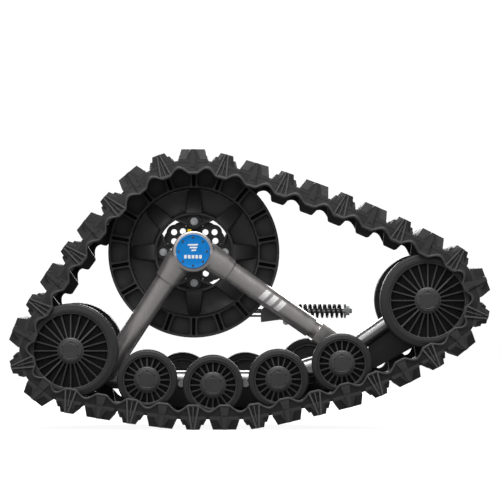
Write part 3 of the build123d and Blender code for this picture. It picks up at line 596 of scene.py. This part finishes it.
FRONT_POCKET_ROW, BACK_POCKET_ROW = 12, 24
CELLS = 7
SLOT_CELLS, POCKET_CELLS = (1,), (3, 4, 5, 6)

bm = bmesh.new()
rings = slotted((0, 0), SPROCKET_PROFILE, SPROCKET_SECTORS, sprocket_cells)
rows = loft(bm, rings, wrap=True)
for row, direction in ((FRONT_POCKET_ROW, 1), (BACK_POCKET_ROW, -1)):
    slots = [f for index, f in enumerate(rows[row]) if index % CELLS in SLOT_CELLS]
    pockets = [f for index, f in enumerate(rows[row]) if index % CELLS in POCKET_CELLS]
    sink(bm, pockets, direction * 0.020, 0.0085)
    # The slot floors and walls take the near-black plastic: painted shade in the slots.
    sink(bm, slots, direction * 0.028, 0.0040, floor_material=1)


def spoke_outline(r):
    """Half width and front Y of a raised spoke at a radius."""
    share = (r - RING_OUTER) / (DISH - RING_OUTER)
    return 0.0195 - 0.0055 * share, -0.0500 + 0.0190 * share**1.3


for number in range(SPOKES):
    turn = Matrix.Rotation(math.tau * number / SPOKES, 4, "Y")
    rings = []
    for step in range(9):
        r = RING_OUTER - 0.002 + (DISH - RING_OUTER + 0.003) * step / 8
        half, top = spoke_outline(min(max(r, RING_OUTER), DISH))
        foot = WEB_FRONT + 0.004
        section = [(-half - 0.0022, foot), (-half - 0.0004, top + 0.003), (-half + 0.0012, top + 0.0006),
                   (-half + 0.0035, top), (half - 0.0035, top), (half - 0.0012, top + 0.0006),
                   (half + 0.0004, top + 0.003), (half + 0.0022, foot)]
        rings.append([turn @ Vector((r, y, x)) for x, y in section])
    loft(bm, rings)


def hull_outline(circles):
    """Convex outline round circles (x, z, radius)."""
    points = []
    for x, z, radius in circles:
        points += [(x + radius * math.cos(math.tau * k / 48), z + radius * math.sin(math.tau * k / 48))
                   for k in range(48)]
    points.sort()
    outline = []
    for chain in (points, list(reversed(points))):
        start = len(outline)
        for point in chain:
            while len(outline) >= start + 2:
                (ax, az), (bx, bz) = outline[-2], outline[-1]
                if (bx - ax) * (point[1] - az) - (bz - az) * (point[0] - ax) > 1e-12:
                    break
                outline.pop()
            outline.append(point)
        outline.pop()
    return outline


def bar_between(bm, a, b, half, y_from, y_to, place):
    """Straight rib from a to b, both (x, z)."""
    dx, dz = b[0] - a[0], b[1] - a[1]
    length = math.hypot(dx, dz)
    nx, nz = -dz / length * half, dx / length * half
    prism(bm, [(a[0] + nx, a[1] + nz), (a[0] - nx, a[1] - nz),
               (b[0] - nx, b[1] - nz), (b[0] + nx, b[1] + nz)],
          y_from, y_to, place)


for number in range(EARS):
    turn = Matrix.Rotation(math.tau * number / EARS, 4, "Y")
    spread = math.radians(EAR_SPREAD)
    roots = [((RING_INNER + 0.002) * math.cos(a), (RING_INNER + 0.002) * math.sin(a))
             for a in (spread, -spread)]
    outline = hull_outline([(EAR_BOLT, 0, 0.0178)] + [(x, z, 0.003) for x, z in roots])
    ear = bmesh.new()
    prism(ear, outline, WEB_FRONT + 0.008, WEB_BACK, turn)
    boss = turn @ Vector((EAR_BOLT, 0, 0))
    lathe(ear, (boss.x, boss.z), [
        (0.0125, WEB_FRONT + 0.010), (0.0125, WEB_FRONT - 0.0008), (0.0135, WEB_FRONT - 0.002),
        (0.0165, WEB_FRONT - 0.002), (0.0177, WEB_FRONT - 0.0008), (0.0177, WEB_FRONT + 0.010),
    ], 48, wrap=True)
    lathe(ear, (boss.x, boss.z), [(0.0128, WEB_FRONT + 0.012), (0.0128, WEB_FRONT)], 48)
    for x, z in roots:
        tangent = (EAR_BOLT - 0.006, math.copysign(0.0160, z))
        bar_between(ear, (x, z), tangent, 0.0016, WEB_FRONT - 0.006, WEB_FRONT + 0.012, turn)
    bar_between(ear, (RING_INNER + 0.002, 0), (EAR_BOLT + 0.014, 0), 0.0035,
                WEB_FRONT - 0.004, WEB_FRONT + 0.012, turn)
    soften(ear, 0.0004, angle=50)
    joined = bpy.data.meshes.new("ear")
    ear.to_mesh(joined)
    ear.free()
    bm.from_mesh(joined)
    bpy.data.meshes.remove(joined)
piece("sprocket", bm, SPROCKET_PLASTIC, "sprocket", ["drive_sprocket"], angle=35,
      extra=[SLIDE_PLASTIC_AND_SHADE])

# ------------------------------------------------------------------ knuckle and struts
KNUCKLE_RADIUS = 0.048
KNUCKLE_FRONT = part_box("hub_knuckle")[0].y
KNUCKLE_EDGE, KNUCKLE_END = -0.106, -0.104
STRUT_RADIUS, SOCKET_RADIUS = 0.0245, 0.0290
STRUT_HUB_Y, STRUT_LEAN = -0.145, 0.188
STRUT_LINES = {
    "front_strut": ((-0.0197, STRUT_HUB_Y, 0), Vector((-0.550, 0, -0.835)).normalized()),
    "rear_strut": ((0.0198, STRUT_HUB_Y, 0), Vector((0.822, 0, -0.570)).normalized()),
}
for name, (foot, flat) in STRUT_LINES.items():
    STRUT_LINES[name] = (Vector(foot), Vector((flat.x, STRUT_LEAN, flat.z)), math.hypot(1, STRUT_LEAN))

bm = bmesh.new()
lathe(bm, (0, 0), [(KNUCKLE_RADIUS - 0.002, KNUCKLE_FRONT), (KNUCKLE_RADIUS, KNUCKLE_FRONT + 0.002),
                   (KNUCKLE_RADIUS, KNUCKLE_EDGE), (KNUCKLE_RADIUS - 0.002, KNUCKLE_END)], 96)
for foot, axis, stretch in STRUT_LINES.values():
    turned(bm, foot, axis, [(SOCKET_RADIUS + 0.004, 0.012), (SOCKET_RADIUS + 0.002, 0.045 * stretch),
                            (SOCKET_RADIUS, 0.066 * stretch), (SOCKET_RADIUS - 0.0006, 0.0775 * stretch),
                            (SOCKET_RADIUS - 0.0025, 0.0795 * stretch)], 64)
casting = piece("hub_casting", bm, FRAME_METAL, "frame", ["hub_knuckle"], angle=60)
remesh = casting.modifiers.new("skin", "REMESH")
remesh.mode = "VOXEL"
remesh.voxel_size = 0.0016
remesh.use_smooth_shade = True
smooth = casting.modifiers.new("cast", "SMOOTH")
smooth.factor = 0.6
smooth.iterations = 14

FRONT_STRUT_END, REAR_TUBE_END = 0.400, 0.3125
STRUT_CUT_HEIGHT = -0.303
for name, end in (("front_strut", FRONT_STRUT_END), ("rear_strut", REAR_TUBE_END)):
    foot, axis, stretch = STRUT_LINES[name]
    bm = bmesh.new()
    turned(bm, foot, axis, [(STRUT_RADIUS, 0.055 * stretch), (STRUT_RADIUS, end * stretch)], 96)
    if name == "front_strut":
        cut = bmesh.ops.bisect_plane(bm, geom=bm.verts[:] + bm.edges[:] + bm.faces[:],
                                     plane_co=(0, 0, STRUT_CUT_HEIGHT),
                                     plane_no=(0, 0, -1), clear_outer=True)
        rim = [g for g in cut["geom_cut"] if isinstance(g, bmesh.types.BMEdge)]
        bmesh.ops.contextual_create(bm, geom=rim)
    piece(f"{name}_tube", bm, FRAME_METAL, "frame", [name])

# ------------------------------------------------------------------ hub cap with a plain mark
cap_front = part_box("hub_cap")[0].y
CAP_RADIUS = 0.040
bm = bmesh.new()
lathe(bm, (0, 0), [(0.028, cap_front + 0.0006), (0.0372, cap_front + 0.0004), (0.0380, cap_front),
                   (0.0388, cap_front), (CAP_RADIUS - 0.0002, cap_front + 0.0012),
                   (CAP_RADIUS, cap_front + 0.003),
                   (CAP_RADIUS, KNUCKLE_FRONT + 0.004)], 128)
piece("cap_disc", bm, CAP_BLUE, "frame", ["hub_cap"], angle=30)


def flat_shape(bm, outline, y, thickness=0.0003):
    prism(bm, outline, y - thickness, y + 0.0002)


def rounded_bar(x, z, width, height, slant=0.0, corner=0.0006):
    """Outline of a bar with rounded corners, leaning by slant."""
    points = []
    for sx, sz, start in ((1, 1, 0), (-1, 1, 90), (-1, -1, 180), (1, -1, 270)):
        for step in range(5):
            a = math.radians(start + 22.5 * step)
            px = sx * (width / 2 - corner) + corner * math.cos(a)
            pz = sz * (height / 2 - corner) + corner * math.sin(a)
            points.append((x + px + slant * pz, z + pz))
    return points


bm = bmesh.new()
mark_y = cap_front + 0.0006
for index, width in enumerate((0.024, 0.0175, 0.011)):
    flat_shape(bm, rounded_bar(0.001 * index, 0.0155 - 0.0065 * index, width, 0.0036, 0.5, 0.0012), mark_y)
for index in range(5):
    flat_shape(bm, rounded_bar(-0.0176 + 0.0088 * index, -0.0125, 0.0062, 0.0082, 0.0, 0.0012), mark_y)
piece("cap_mark", bm, MARK_WHITE, "frame")

# ------------------------------------------------------------------ plain marks on the rear strut
foot, axis, stretch = STRUT_LINES["rear_strut"]
direction = axis.normalized()
up = Vector((0, -1, 0)).cross(direction).normalized()
if up.z < 0:
    up.negate()
out = direction.cross(up).normalized()
if out.y > 0:
    out.negate()
bm = bmesh.new()
for index in range(3):
    rings = []
    start = 0.169 + 0.0220 * index
    for along in (start, start + 0.0135):
        inner, outer = [], []
        for step in range(9):
            swing = math.radians(-34 + 8.5 * step)
            lean = 0.006 * (step / 8 - 0.5)
            centre = foot + axis * along + direction * lean
            radial = out * math.cos(swing) + up * math.sin(swing)
            outer.append(centre + radial * (STRUT_RADIUS + 0.0002))
            inner.append(centre + radial * (STRUT_RADIUS - 0.0003))
        rings.append(outer + list(reversed(inner)))
    loft(bm, rings)
piece("strut_mark", bm, MARK_WHITE, "frame")

# ------------------------------------------------------------------ tension arm
centre, _, _, _ = middle("rear_idler_axle")
ARM_ANGLE = math.radians(35.4)
ARM_RADIUS, ARM_LENGTH, RAIL_Y = 0.019, 0.228, -0.066
ARM_OFFSET = 0.0072
arm_axis = Vector((-math.cos(ARM_ANGLE), 0, -math.sin(ARM_ANGLE)))
arm_root = Vector((centre[0], RAIL_Y, centre[1])) + Vector((arm_axis.z, 0, -arm_axis.x)) * ARM_OFFSET
bm = bmesh.new()
turned(bm, arm_root, arm_axis, [
    (ARM_RADIUS, 0.0), (ARM_RADIUS, ARM_LENGTH - 0.001), (ARM_RADIUS - 0.001, ARM_LENGTH),
], 96)
lathe(bm, centre, [
    (0.0225, RAIL_Y - 0.030), (0.024, RAIL_Y - 0.0285), (0.024, RAIL_Y + 0.0285), (0.0225, RAIL_Y + 0.030),
], 72)
piece("arm", bm, BRIGHT_METAL, "tensioner", ["tension_arm"])

# ------------------------------------------------------------------ finishes of the CAD nodes that stay
CAD_FINISHES = {
    "hub_plate": BLACK_STEEL, "spindle": DARK_STEEL, "spindle_nut": ZINC, "sprocket_bolts": ZINC,
    "hub_cap_screws": BLACK_STEEL, "hub_bearings": DARK_STEEL, "grease_cap": CAP_YELLOW,
    "rear_strut_foot": FRAME_METAL, "undercarriage_rail": BRIGHT_METAL, "front_axle_sleeve": DARK_STEEL,
    "slide_rail": SLIDE_PLASTIC_AND_SHADE, "front_idler_axle": ZINC, "outer_roller_axles": ZINC,
    "inner_roller_axles": ZINC, "wheel_bearings": DARK_STEEL, "wheel_bolts": ZINC,
    "rear_idler_axle": ZINC, "rear_slide_plate": DARK_STEEL, "rear_idler_bearings": DARK_STEEL,
    "rear_idler_bolts": ZINC, "stabilizer_bracket": BLACK_STEEL, "stabilizer_rod": ZINC,
    "stabilizer_eye": BLACK_STEEL, "rod_nut": ZINC, "stabilizer_spring": DARK_STEEL,
    "bracket_bolt": ZINC,
}
for node, material in CAD_FINISHES.items():
    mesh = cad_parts[node].data
    mesh.materials.clear()
    mesh.materials.append(material)

# ------------------------------------------------------------------ floor, light and camera
def stage_surface(name, bm, diffuse, glow):
    """White stage object that the camera sees, but that throws no light back at the object."""
    material = bpy.data.materials.new(name)
    material.use_nodes = True
    shader = material.node_tree.nodes["Principled BSDF"]
    shader.inputs["Base Color"].default_value = (diffuse, diffuse, diffuse, 1)
    shader.inputs["Roughness"].default_value = 1.0
    shader.inputs["Specular IOR Level"].default_value = 0.0
    shader.inputs["Emission Color"].default_value = (1, 1, 1, 1)
    shader.inputs["Emission Strength"].default_value = glow
    mesh = bpy.data.meshes.new(name)
    bm.to_mesh(mesh)
    bm.free()
    mesh.materials.append(material)
    obj = bpy.data.objects.new(name, mesh)
    bpy.context.scene.collection.objects.link(obj)
    obj.visible_diffuse = False
    obj.visible_glossy = False
    obj.visible_shadow = False
    return obj


bm = bmesh.new()
bmesh.ops.create_grid(bm, x_segments=4, y_segments=4, size=30.0)
stage_surface("floor", bm, 0.25, 0.93).location.z = cad_low.z - 0.0005
bm = bmesh.new()
bmesh.ops.create_icosphere(bm, subdivisions=4, radius=24.0)
stage_surface("backdrop", bm, 0.0, 1.05)

world = bpy.data.worlds.new("studio")
bpy.context.scene.world = world
world.use_nodes = True
world.node_tree.nodes["Background"].inputs["Color"].default_value = (1, 1, 1, 1)
world.node_tree.nodes["Background"].inputs["Strength"].default_value = 0.3
bpy.context.scene.view_settings.view_transform = "Standard"


def area_light(name, location, target, size, energy):
    data = bpy.data.lights.new(name, "AREA")
    data.shape = "RECTANGLE"
    data.size, data.size_y = size
    data.energy = energy
    light = bpy.data.objects.new(name, data)
    light.location = location
    light.rotation_euler = (Vector(target) - Vector(location)).to_track_quat("-Z", "Y").to_euler()
    bpy.context.scene.collection.objects.link(light)
    return light


area_light("top_softbox", (0.1, -1.6, 2.6), (0.1, -0.1, 0.0), (2.8, 1.4), 115)
area_light("front_softbox", (-1.2, -4.5, 1.6), (0.1, -0.1, -0.1), (1.6, 1.6), 20)
area_light("back_softbox", (0.1, 2.0, 0.9), (0.1, 0.0, -0.1), (2.6, 1.2), 80).visible_camera = False

camera_data = bpy.data.cameras.new("camera")
camera_data.lens = 183.0
camera_data.sensor_width = 36.0
camera = bpy.data.objects.new("camera", camera_data)
camera.location = (0.1095, -6.1, -0.0783)
aim = Vector((0.1328, -0.178, 0.0033)) - camera.location
camera.rotation_euler = aim.to_track_quat("-Z", "Y").to_euler()
bpy.context.scene.collection.objects.link(camera)
bpy.context.scene.camera = camera
